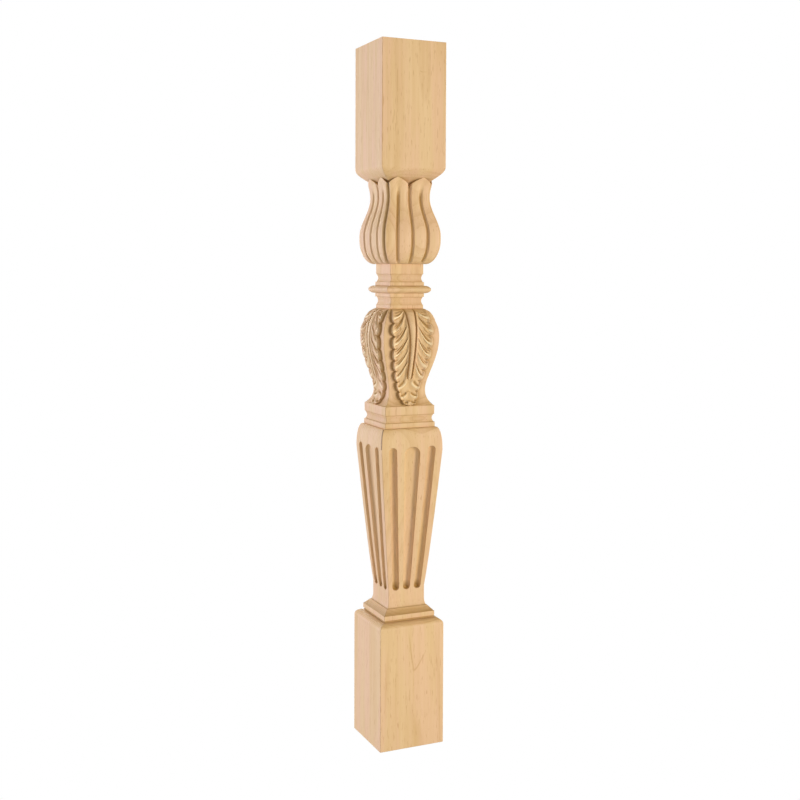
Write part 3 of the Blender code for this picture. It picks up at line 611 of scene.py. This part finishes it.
def cupSide():
    # level rows up to just under the petals' edge, rows that climb to the pointed arches, the
    # lip, and the recess down behind it to the throat
    c, foot = cup, topOf["neck"]
    turn = np.linspace(0.03, math.pi / 2, 15)
    bellyTop = c["bellyRise"] + c["bellyHeight"]
    toWaist = (c["waistRise"] - bellyTop) * np.linspace(0, 1, 24)[1:]
    levels = np.r_[
        foot + c["bellyRise"] * (1 - np.cos(turn)), foot + bellyTop,
        foot + bellyTop + toWaist, foot + c["height"] - 6.0,
    ]
    half = cupHalf(levels)
    across = cupAcross(half)
    height = np.repeat(levels[:, None], across.shape[1], axis=1)
    footFade = np.clip((height - foot) / c["footFade"], 0.0, 1) ** c["fadePower"]
    out, deep = petalSurface(across, height, footFade, creaseFadeAt(height) * footFade)
    cornerFade = footFade[:, 0]
    corner = half - c["cornerDepth"] * cornerFade
    # the corner column gets the corner grooves' painted shade
    level = (np.c_[across, corner], np.c_[out, corner], np.c_[height, levels],
             np.c_[deep, c["cornerShade"] * cornerFade])
    share = np.r_[across[-1] / half[-1], 1.0]
    climbs = (0.25, 0.5, 0.7, 0.85, 0.95, 1.0)
    rows = [climbingRow(share, levels[-1], half[-1], part) for part in climbs]
    rows += recessRows(share, rows[-1][0], rows[-1][1])
    return tuple(np.r_[level[i], np.array([row[i] for row in rows])] for i in range(4))


def throatHalf(height):
    # half a cosine wave, narrow behind the petals and as wide as the stock under the head block
    c = cup
    part = np.clip(1 - (topOf["throat"] - height) / c["throatHeight"], 0, 1) ** c["throatPower"]
    spread = stockHalf - c["throatHalf"]
    return c["throatHalf"] + spread * 0.5 * (1 - np.cos(math.pi * part))


def headSide():
    # rest of the throat, the plain head block and its eased end
    m, top = moulding, topOf["head"]
    low, high = topOf["neck"] + cup["height"] + cup["pointRise"] + 0.9, topOf["throat"]
    z = low + (high - low) * np.linspace(0, 1, 14)
    end = m["endEase"] * np.sin(np.radians([0, 30, 60, 90]))
    levels = (high + 1.0, *(high + row for row in m["blockRows"]), top - m["endRow"])
    rows = list(np.c_[z, throatHalf(z)]) + [(level, stockHalf) for level in levels]
    rows += list(np.c_[top - m["endEase"] + end, stockHalf - m["endEase"] + end[::-1]])
    return plainSide(rows, m["arrisEase"])


# Mesh


def ringsOf(side):
    # mirrors a half side about its middle and turns it to the four sides of the post
    signs = (-1, 1, 1, 1)  # only the place across the side changes its sign
    wholes = (np.c_[sign * part[:, :0:-1], part[:, :-1]] for sign, part in zip(signs, side))
    across, out, height, deep = wholes
    quarters = []
    for c, s in ((1, 0), (0, 1), (-1, 0), (0, -1)):
        quarters.append(np.stack([across * c + out * s, across * s - out * c, height], axis=2))
    return np.concatenate(quarters, axis=1), np.concatenate([deep] * 4, axis=1)


def gridFaces(first, rows, columns):
    # quads between neighbouring rings of one grid, closed round the post
    row, column = np.meshgrid(np.arange(rows - 1), np.arange(columns), indexing="ij")
    here, right = first + row * columns + column, first + row * columns + (column + 1) % columns
    return np.stack([here, right, right + columns, here + columns], axis=2).reshape(-1, 4)


def placeRound(ring):
    # how far round the post each point of a ring lies, from 0 to 4
    angle = np.unwrap(np.arctan2(ring[:, 1], ring[:, 0]))
    return (angle - angle[0]) / (math.pi / 2)


def seamFaces(lowFirst, lowRing, highFirst, highRing):
    # triangles between two rings with different numbers of points: each edge of one ring meets
    # the point of the other whose edges' middles it lies between
    lowPlace, highPlace = np.r_[placeRound(lowRing), 4.0], np.r_[placeRound(highRing), 4.0]
    lowMiddle, highMiddle = (lowPlace[1:] + lowPlace[:-1]) / 2, (highPlace[1:] + highPlace[:-1]) / 2
    nLow, nHigh = len(lowRing), len(highRing)
    low, high = np.arange(nLow), np.arange(nHigh)
    facing = np.searchsorted(highMiddle, lowMiddle, side="right") % nHigh
    under = np.searchsorted(lowMiddle, highMiddle, side="left") % nLow
    fromLow = np.stack([lowFirst + low, lowFirst + (low + 1) % nLow, highFirst + facing], axis=1)
    nextHigh = highFirst + (high + 1) % nHigh
    fromHigh = np.stack([lowFirst + under, nextHigh, highFirst + high], axis=1)
    return np.r_[fromLow, fromHigh]


def postSkin():
    # points, their painted shade and highlight, and faces: the stages' grids, the seams between them,
    # and the two ends
    sides = [footSide(), shaftSide(), plinthSide(), leafSide(), neckSide(), cupSide(), headSide()]
    points, darkness, quads, seams, first, last = [], [], [], [], 0, None
    for side in sides:
        rings, deep = ringsOf(side)
        rows, columns = rings.shape[:2]
        quads.append(gridFaces(first, rows, columns))
        if last is not None:
            seams.append(seamFaces(*last, first, rings[0]))
        last = (first + (rows - 1) * columns, rings[-1])
        points.append(rings.reshape(-1, 3))
        darkness.append(deep.reshape(-1))
        first += rows * columns
    footColumns = ringsOf(sides[0])[0].shape[1]
    ends = [list(range(footColumns))[::-1], list(range(last[0], first))]
    faces = np.concatenate(quads).tolist() + np.concatenate(seams).tolist() + ends
    return np.concatenate(points), np.concatenate(darkness), faces


def makePost():
    # one closed skin from the floor to the top, with its painted shade and highlight as the attribute
    # "hollow"
    points, darkness, faces = postSkin()
    mesh = bpy.data.meshes.new("carved_post")
    mesh.from_pydata((points * 0.001).tolist(), [], faces)  # millimetres to metres
    hollow = mesh.attributes.new("hollow", "FLOAT", "POINT")
    hollow.data.foreach_set("value", darkness.astype(np.float32))
    mesh.shade_smooth()
    mesh.set_sharp_from_angle(angle=math.radians(38))
    post = bpy.data.objects.new("carved_post", mesh)
    bpy.context.scene.collection.objects.link(post)
    mesh.calc_loop_triangles()
    print("post:", len(mesh.vertices), "points,", len(mesh.loop_triangles), "triangles")
    return post


# Maple

maple = {
    "light": (0.79, 0.57, 0.32), "dark": (0.66, 0.42, 0.18), "pink": (0.80, 0.54, 0.34),
    "poreTint": (0.62, 0.45, 0.3), "endGrain": (0.70, 0.46, 0.19), "lateWood": (0.55, 0.31, 0.12),
    # the hollow and crest colours below are painted shade for the carved hollows and a painted
    # highlight for the crests; the last colour is a crack's painted shade
    "figure": (0.50, 0.28, 0.09), "hollow": (0.32, 0.155, 0.012), "paintedHighlight": (1.0, 0.85, 0.56),
    "crackShade": (0.16, 0.07, 0.02),
    # noise along the grain: its scale, its stretch, its detail, and the two values between which
    # it goes from nothing to full
    "streaks": (90.0, 0.035, 3.0, 0.35, 0.65), "fibres": (420.0, 0.030, 4.0, 0.35, 0.7),
    "blush": (60.0, 0.10, 2.0, 0.42, 0.62), "pores": (1000.0, 0.07, 1.0, 0.65, 0.72),
    # how much of each shows where it is full
    "streakShare": 0.40, "blushShare": 0.8, "fibreShare": 0.22, "poreShare": 0.45,
    # the hollows' and the crack's shares below are painted shade
    "endShare": 0.5, "figureShare": 0.45, "paintedShadeShare": 0.8, "crackShadeShare": 0.85,
    # growth rings: the tree's middle and the width of a ring, in metres, their waves, where the
    # late wood comes and stops within a ring, and how strong it is on the ends and in patches
    "ringMiddle": (0.012, 0.085), "ringWidth": 0.0042,
    "ringWave": (28.0, 0.16, 1.0), "ringWaveDepth": 0.009,
    "lateFrom": (0.45, 0.9), "lateStop": (1.0, 0.93),
    "ringPatches": (26.0, 0.3, 1.0), "patchRange": (0.42, 0.62, 0.05, 0.28), "endRings": 0.3,
    "endFacing": (0.25, 0.85),  # how far up a face looks where the end grain begins and is full
    # lines of figure on the front, in metres: the lowest point, how steeply it climbs to the left
    # and to the right of it, how far it reaches on each side, and its width
    "figures": [
        {"x": 0.0026, "z": 0.1005, "left": 7.0, "right": 1.80,
         "reachLeft": 0.0086, "reachRight": 0.0175, "width": 0.0014},
        {"x": 0.0110, "z": 0.862, "left": 1.2, "right": 0.5,
         "reachLeft": 0.004, "reachRight": 0.007, "width": 0.0010},
    ],
    "figureRound": 0.008, "figureFront": -0.04,
    # painted shade of a crack along the front left arris at the top of the shaft, just beside the
    # arris; the skin has no gap there
    "crack": {"low": 0.386, "high": 0.4105, "offset": 0.0014, "width": 0.0017, "front": -0.03},
    "roughness": (0.50, 0.63), "specular": 0.3, "grainBump": 0.08, "grainHeight": 0.0004,
}


def hue(name):
    # one of the wood's colours, opaque
    return (*maple[name], 1.0)


class WoodNodes:
    # short calls that add nodes to the wood; a value is a number, a colour or a node's socket

    def __init__(self, tree):
        self.tree = tree
        coordinates = tree.nodes.new("ShaderNodeTexCoord").outputs
        self.place, self.facing = coordinates["Object"], coordinates["Normal"]

    def add(self, kind, values=(), **settings):
        # a node with its settings, and its inputs linked or set
        made = self.tree.nodes.new(kind)
        for name, value in settings.items():
            setattr(made, name, value)
        for socket, value in values:
            if isinstance(value, bpy.types.NodeSocket):
                self.tree.links.new(value, made.inputs[socket])
            else:
                made.inputs[socket].default_value = value
        return made.outputs

    def noise(self, scale, stretch, detail):
        # noise drawn out along the post: the smaller the stretch, the longer
        scales = (scale, scale, scale * stretch)
        mapped = self.add("ShaderNodeMapping", [("Vector", self.place), ("Scale", scales)])[0]
        values = [("Vector", mapped), ("Scale", 1.0), ("Detail", detail)]
        return self.add("ShaderNodeTexNoise", values)["Fac"]

    def ramp(self, value, low, high, outLow=0.0, outHigh=1.0):
        # straight line from one value at low to another at high, level beyond them
        values = enumerate((value, low, high, outLow, outHigh))
        return self.add("ShaderNodeMapRange", values)[0]

    def grain(self, name):
        # one of the wood's noises, from nothing to full
        return self.ramp(self.noise(*maple[name][:3]), *maple[name][3:])

    def mix(self, share, base, tone, kind="MIX"):
        # the base, with a share of the tone over it
        values = [(0, share), (6, base), (7, tone)]
        return self.add("ShaderNodeMix", values, data_type="RGBA", blend_type=kind)[2]

    def calc(self, kind, a, b=0.0):
        # one sum; a maximum and a comparison are with 0 unless b is given
        return self.add("ShaderNodeMath", [(0, a), (1, b)], operation=kind)[0]

    # product, sum and difference of two values

    def times(self, a, b):
        return self.calc("MULTIPLY", a, b)

    def plus(self, a, b):
        return self.calc("ADD", a, b)

    def less(self, a, b):
        return self.calc("SUBTRACT", a, b)


def plainGrain(w, fibres):
    # broad streaks of darker wood, a pink blush, fine fibres and short pores
    streaked = w.mix(maple["streakShare"], hue("light"), hue("dark"))
    tone = w.mix(w.grain("streaks"), hue("light"), streaked)
    tone = w.mix(w.times(w.grain("blush"), maple["blushShare"]), tone, hue("pink"))
    tone = w.mix(w.times(fibres, maple["fibreShare"]), tone, hue("dark"))
    pores = w.times(w.grain("pores"), maple["poreShare"])
    return w.mix(pores, tone, hue("poreTint"), "MULTIPLY")


def growthRings(w, tone, x, y):
    # end grain on faces that look up, and rings round the middle of the tree, a little wavy, each
    # darker towards its late wood; they are strongest on the end grain and come and go elsewhere
    m = maple
    up = w.add("ShaderNodeSeparateXYZ", [(0, w.facing)])[2]
    ends = w.ramp(up, *m["endFacing"])
    tone = w.mix(w.times(ends, m["endShare"]), tone, hue("endGrain"))
    fromX, fromY = (w.less(axis, middle) for axis, middle in zip((x, y), m["ringMiddle"]))
    fromMiddle = w.calc("SQRT", w.plus(w.times(fromX, fromX), w.times(fromY, fromY)))
    wavy = w.times(w.noise(*m["ringWave"]), m["ringWaveDepth"])
    turn = w.calc("FRACT", w.calc("DIVIDE", w.plus(fromMiddle, wavy), m["ringWidth"]))
    lateWood = w.times(w.ramp(turn, *m["lateFrom"]), w.ramp(turn, *m["lateStop"]))
    patches = w.ramp(w.noise(*m["ringPatches"]), *m["patchRange"])
    share = w.plus(w.times(ends, m["endRings"]), patches)
    return w.mix(w.times(lateWood, share), tone, hue("lateWood"))


def figureLine(w, tone, f, x, y, z):
    # thin line that climbs from its lowest point to both sides, on the front only: a hyperbola
    # over each side's own slope, as wide across the line wherever it climbs
    aside = w.less(x, f["x"])
    left, right = w.calc("MAXIMUM", w.times(aside, -1.0)), w.calc("MAXIMUM", aside)
    climb = w.plus(w.times(left, f["left"]), w.times(right, f["right"]))
    bend = maple["figureRound"]
    level = w.less(w.calc("SQRT", w.plus(w.times(climb, climb), bend * bend)), bend)
    away = w.calc("ABSOLUTE", w.less(w.less(z, f["z"]), level))
    slope = w.calc("DIVIDE", climb, w.plus(level, bend))
    steepLeft = w.times(w.plus(1.0, w.times(slope, f["left"] - 1.0)), w.calc("GREATER_THAN", left))
    steepRight = w.times(w.calc("LESS_THAN", left, 1e-9), f["right"])
    line = w.ramp(w.calc("DIVIDE", away, w.plus(steepLeft, steepRight)), f["width"], 0.0)
    nearLeft = w.ramp(left, f["reachLeft"], 0.7 * f["reachLeft"])
    nearRight = w.ramp(right, f["reachRight"], 0.6 * f["reachRight"])
    line = w.times(line, w.times(nearLeft, nearRight))
    line = w.times(line, w.calc("LESS_THAN", y, maple["figureFront"]))
    return w.mix(w.times(line, maple["figureShare"]), tone, hue("figure"))


def carvedShadeAndHighlight(w, tone):
    # painted shade in the carved hollows and a painted highlight on the crests, from the skin's own
    # attribute
    hollow = w.add("ShaderNodeAttribute", attribute_name="hollow")["Fac"]
    dark, highlight = w.calc("MAXIMUM", hollow), w.calc("MAXIMUM", w.times(hollow, -1.0))
    tone = w.mix(w.times(dark, maple["paintedShadeShare"]), tone, hue("hollow"))
    return w.mix(highlight, tone, hue("paintedHighlight"))


def crackShadeTone(w, tone, x, y, z):
    # painted shade of a crack: a dark line between two heights, beside the arris where x and y are
    # alike
    c = maple["crack"]
    track = w.plus(w.less(x, y), c["offset"])
    crackShade = w.ramp(w.calc("ABSOLUTE", track), c["width"], 0.4 * c["width"])
    span = w.times(w.calc("GREATER_THAN", z, c["low"]), w.calc("LESS_THAN", z, c["high"]))
    crackShade = w.times(w.times(crackShade, span), w.calc("LESS_THAN", y, c["front"]))
    return w.mix(w.times(crackShade, maple["crackShadeShare"]), tone, hue("crackShade"))


def makeMaple():
    # pale maple: grain, growth rings, two lines of figure, painted shade in the carved hollows, a
    # painted highlight on the crests, and the painted shade of one crack
    material = bpy.data.materials.new("raw_maple")
    material.use_nodes = True
    tree = material.node_tree
    w = WoodNodes(tree)
    x, y, z = w.add("ShaderNodeSeparateXYZ", [(0, w.place)])
    fibres = w.grain("fibres")
    tone = growthRings(w, plainGrain(w, fibres), x, y)
    for figure in maple["figures"]:
        tone = figureLine(w, tone, figure, x, y, z)
    tone = crackShadeTone(w, carvedShadeAndHighlight(w, tone), x, y, z)
    values = [("Height", fibres), ("Strength", maple["grainBump"]), ("Distance", maple["grainHeight"])]
    fineGrain = w.add("ShaderNodeBump", values)[0]
    shader = tree.nodes["Principled BSDF"]
    tree.links.new(tone, shader.inputs["Base Color"])
    tree.links.new(w.ramp(fibres, 0.0, 1.0, *maple["roughness"]), shader.inputs["Roughness"])
    tree.links.new(fineGrain, shader.inputs["Normal"])
    shader.inputs["Specular IOR Level"].default_value = maple["specular"]
    return material


# Floor, light and camera

# metres from the foot of the post, watts, and side of each square lamp in metres
lights = {
    "key": {"at": (1.95, -2.25, 0.62), "size": 0.8, "power": 60.0, "colour": (1.0, 0.94, 0.83)},
    "fill": {"at": (-2.20, 1.42, 0.62), "size": 1.0, "power": 67.0, "colour": (0.78, 0.80, 1.0)},
    "front": {"at": (-0.6, -3.0, 0.5), "size": 1.6, "power": 18.0, "colour": (1.0, 0.98, 0.95)},
    "back": {"at": (0.4, 2.9, 0.7), "size": 1.6, "power": 48.0, "colour": (1.0, 0.98, 0.95)},
    "above": {"at": (0.0, 0.0, 1.9), "size": 0.15, "power": 4.5, "colour": (1.0, 0.98, 0.95)},
}

# floor and room: white in the picture, and a dimmer warm light on the post
studio = {
    "aim": (0.0, 0.0, 0.45), "ambient": 0.27, "ambientTint": (1.0, 0.92, 0.80, 1.0),
    "floorGlow": 0.52, "floorTint": (1.0, 0.96, 0.90, 1.0), "floorReach": 0.9,
}

# camera round the post's axis, in degrees and metres; its focal length and shift are in pixels
# of the picture
view = {
    "azimuth": -24.07, "distance": 1.5058, "height": 0.61, "pitch": 2.36, "roll": -0.2,
    "focal": 1158.6, "across": -0.5, "down": -80.0, "frameWidth": 800.0,
    "sensor": 36.0, "nearest": 0.05,
}


def seenOrLit(tree, lit, seen, output):
    # one look for the camera's own rays, and another for the light that the post gets
    pick = tree.nodes.new("ShaderNodeMixShader")
    path = tree.nodes.new("ShaderNodeLightPath")
    tree.links.new(path.outputs["Is Camera Ray"], pick.inputs[0])
    tree.links.new(lit.outputs[0], pick.inputs[1])
    tree.links.new(seen.outputs[0], pick.inputs[2])
    tree.links.new(pick.outputs[0], tree.nodes[output].inputs["Surface"])


def makeFloor():
    # flat square round the post's foot
    mesh = bpy.data.meshes.new("floor")
    corners = [(-1, -1), (1, -1), (1, 1), (-1, 1)]
    reach = studio["floorReach"]
    mesh.from_pydata([(x * reach, y * reach, 0.0) for x, y in corners], [], [(0, 1, 2, 3)])
    floor = bpy.data.objects.new("floor", mesh)
    bpy.context.scene.collection.objects.link(floor)
    material = bpy.data.materials.new("pale_floor")
    material.use_nodes = True
    tree = material.node_tree
    seen, glow = (tree.nodes.new("ShaderNodeEmission") for _ in range(2))
    glow.inputs["Color"].default_value = studio["floorTint"]
    glow.inputs["Strength"].default_value = studio["floorGlow"]
    seenOrLit(tree, glow, seen, "Material Output")
    mesh.materials.append(material)


def makeLight(name, settings):
    # square soft lamp, aimed later
    lamp = bpy.data.lights.new(name, "AREA")
    lamp.shape = "SQUARE"
    lamp.size = settings["size"]
    lamp.energy = settings["power"]
    lamp.color = settings["colour"]
    light = bpy.data.objects.new(name, lamp)
    light.location = settings["at"]
    bpy.context.scene.collection.objects.link(light)
    return light


def aimAt(thing, target):
    # turns a light so that it shines on the target
    x, y, z = (t - p for t, p in zip(target, thing.location))
    thing.rotation_euler = (math.atan2(math.hypot(x, y), -z), 0.0, math.atan2(-x, y))


def makeWorld():
    # white behind the post, and a dimmer soft light on it
    world = bpy.data.worlds.new("white_studio")
    bpy.context.scene.world = world
    world.use_nodes = True
    tree = world.node_tree
    seen, soft = tree.nodes["Background"], tree.nodes.new("ShaderNodeBackground")
    seen.inputs["Color"].default_value = (1.0, 1.0, 1.0, 1.0)
    soft.inputs["Color"].default_value = studio["ambientTint"]
    soft.inputs["Strength"].default_value = studio["ambient"]
    seenOrLit(tree, soft, seen, "World Output")


def makeCamera():
    # stands at an azimuth round the post's axis and looks level, or down by the pitch
    v = view
    lens = bpy.data.cameras.new("photo_view")
    lens.sensor_width = v["sensor"]
    lens.lens = v["sensor"] * v["focal"] / v["frameWidth"]
    lens.shift_x = -v["across"] / v["frameWidth"]
    lens.shift_y = v["down"] / v["frameWidth"]
    lens.clip_start = v["nearest"]
    camera = bpy.data.objects.new("photo_view", lens)
    turn = math.radians(v["azimuth"])
    camera.location = (math.sin(turn) * v["distance"], -math.cos(turn) * v["distance"], v["height"])
    camera.rotation_euler = (math.radians(90 - v["pitch"]), math.radians(v["roll"]), turn)
    bpy.context.scene.collection.objects.link(camera)
    bpy.context.scene.camera = camera


post = makePost()
post.data.materials.append(makeMaple())
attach(post, "root")
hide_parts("post")
print("post and its maple are in place")

makeFloor()
for name, settings in lights.items():
    aimAt(makeLight(name, settings), studio["aim"])
makeWorld()
makeCamera()
bpy.context.scene.view_settings.view_transform = "Standard"
print("floor, lights and camera are in place")
